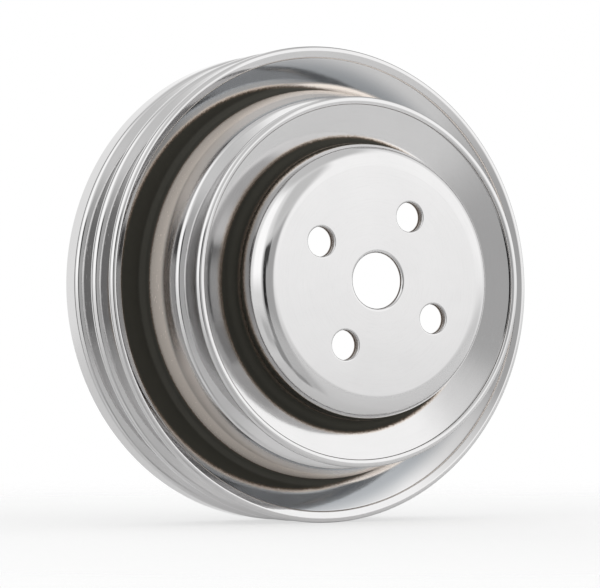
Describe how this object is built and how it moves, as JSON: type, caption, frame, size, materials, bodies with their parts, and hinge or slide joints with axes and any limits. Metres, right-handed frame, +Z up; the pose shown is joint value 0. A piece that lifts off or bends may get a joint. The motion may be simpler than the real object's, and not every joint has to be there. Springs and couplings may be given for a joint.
{
  "type": "water pump pulley",
  "caption": "Chrome-plated pressed-steel V-belt pulley: raised bolt-on hub cap, small front belt groove, flared drum and larger grooved rear rim.",
  "frame": {"origin": "on the pulley's axis, half way between its front face and its rear edge", "axes": "+Y along the axis of rotation towards the engine, so the bolt-on face looks along -Y; +Z up, +X to the right when the front is looked at"},
  "size_m": [0.1672, 0.0728, 0.1672],
  "materials": {
    "hub_cup": "polished decorative chrome plate on pressed steel",
    "drum_shell": "polished decorative chrome plate on pressed steel",
    "mid_rib_ring": "polished decorative chrome plate on pressed steel",
    "rear_rim_ring": "polished decorative chrome plate on pressed steel"
  },
  "bodies": {
    "root": {"hub_cup": "hub_cup", "drum_shell": "drum_shell", "mid_rib_ring": "mid_rib_ring", "rear_rim_ring": "rear_rim_ring"}
  },
  "joints": []
}
